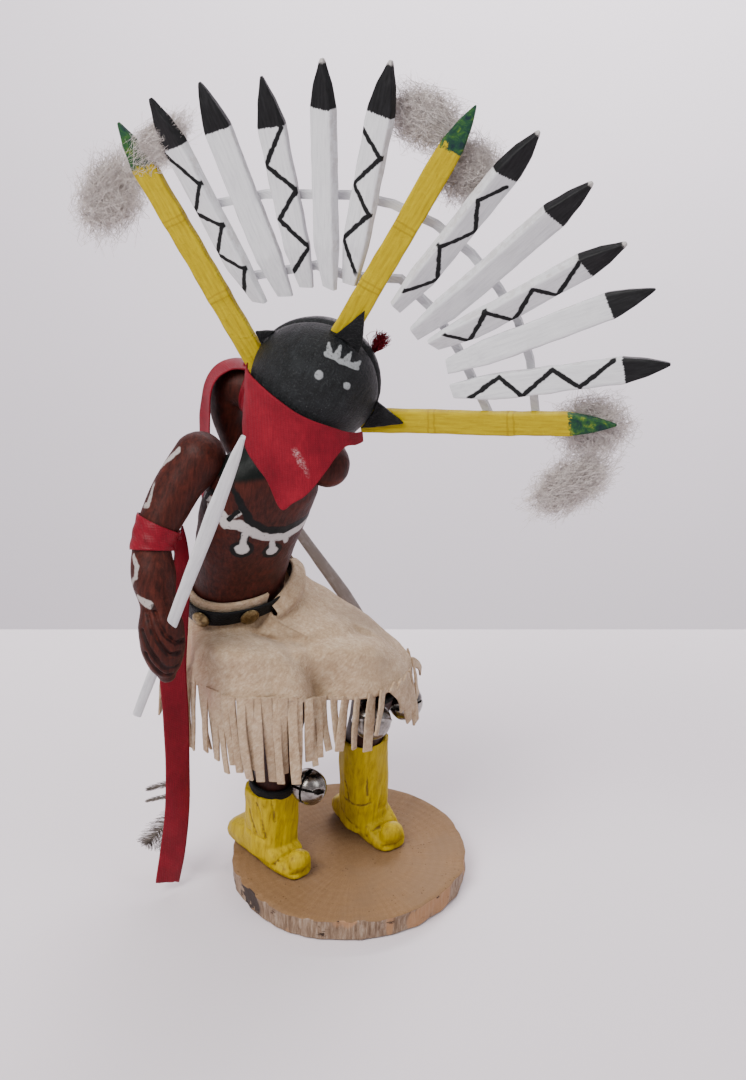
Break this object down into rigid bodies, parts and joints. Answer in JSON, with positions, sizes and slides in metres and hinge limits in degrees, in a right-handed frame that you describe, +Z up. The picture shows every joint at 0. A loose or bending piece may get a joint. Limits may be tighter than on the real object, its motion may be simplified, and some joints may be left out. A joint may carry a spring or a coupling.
{
  "type": "kachina doll",
  "caption": "Carved and painted dancer figure with a black mask, a fan crown of wooden slats, suede kilt, cloth ribbons and bells, on a slice of a log.",
  "frame": {"origin": "on the underside of the log slice, under its middle", "axes": "+Z up, the longest extent; -Y towards the viewer of the picture; +X to the viewer's right"},
  "size_m": [0.1831, 0.1143, 0.3147],
  "materials": {
    "wood_slice": "matte",
    "dark_paint": "satin",
    "black_paint": "satin",
    "white_paint": "matte",
    "yellow_paint": "matte",
    "boot_paint": "matte",
    "suede": "napped",
    "black_leather": "satin",
    "red_cloth": "satin",
    "brass": "worn",
    "nickel": "polished",
    "feather": "matte",
    "wool": "matte"
  },
  "bodies": {
    "root": {"base_slice": "wood_slice", "white_slat_1": "white_paint", "white_slat_2": "white_paint", "white_slat_3": "white_paint", "white_slat_4": "white_paint", "white_slat_5": "white_paint", "white_slat_6": "white_paint", "white_slat_7": "white_paint", "white_slat_8": "white_paint", "white_slat_9": "white_paint", "white_slat_10": "white_paint", "yellow_slat_left": "yellow_paint", "yellow_slat_middle": "yellow_paint", "yellow_slat_right": "yellow_paint", "outer_stick": "white_paint", "inner_stick": "white_paint", "mask_head": "black_paint", "carved_body": "dark_paint", "right_moccasin": "boot_paint", "left_moccasin": "boot_paint", "right_arm": "dark_paint", "left_arm": "dark_paint", "right_sword": "white_paint", "left_sword": "white_paint", "suede_kilt": "suede", "belt": "black_leather", "concho_1": "brass", "concho_2": "brass", "concho_3": "brass", "concho_4": "brass", "concho_5": "brass", "concho_6": "brass", "concho_7": "brass", "red_bandana": "red_cloth", "leather_ear_left": "black_leather", "leather_ear_middle": "black_leather", "leather_ear_right": "black_leather", "red_tuft": "red_cloth", "fluff_left": "wool", "fluff_middle": "wool", "fluff_right": "wool", "right_ribbon": "red_cloth", "left_ribbon": "red_cloth", "ribbon_feathers": "feather", "arm_feather": "feather", "right_garter": "black_leather", "left_garter": "black_leather", "bell_1": "nickel", "bell_2": "nickel", "bell_3": "nickel"}
  },
  "joints": []
}
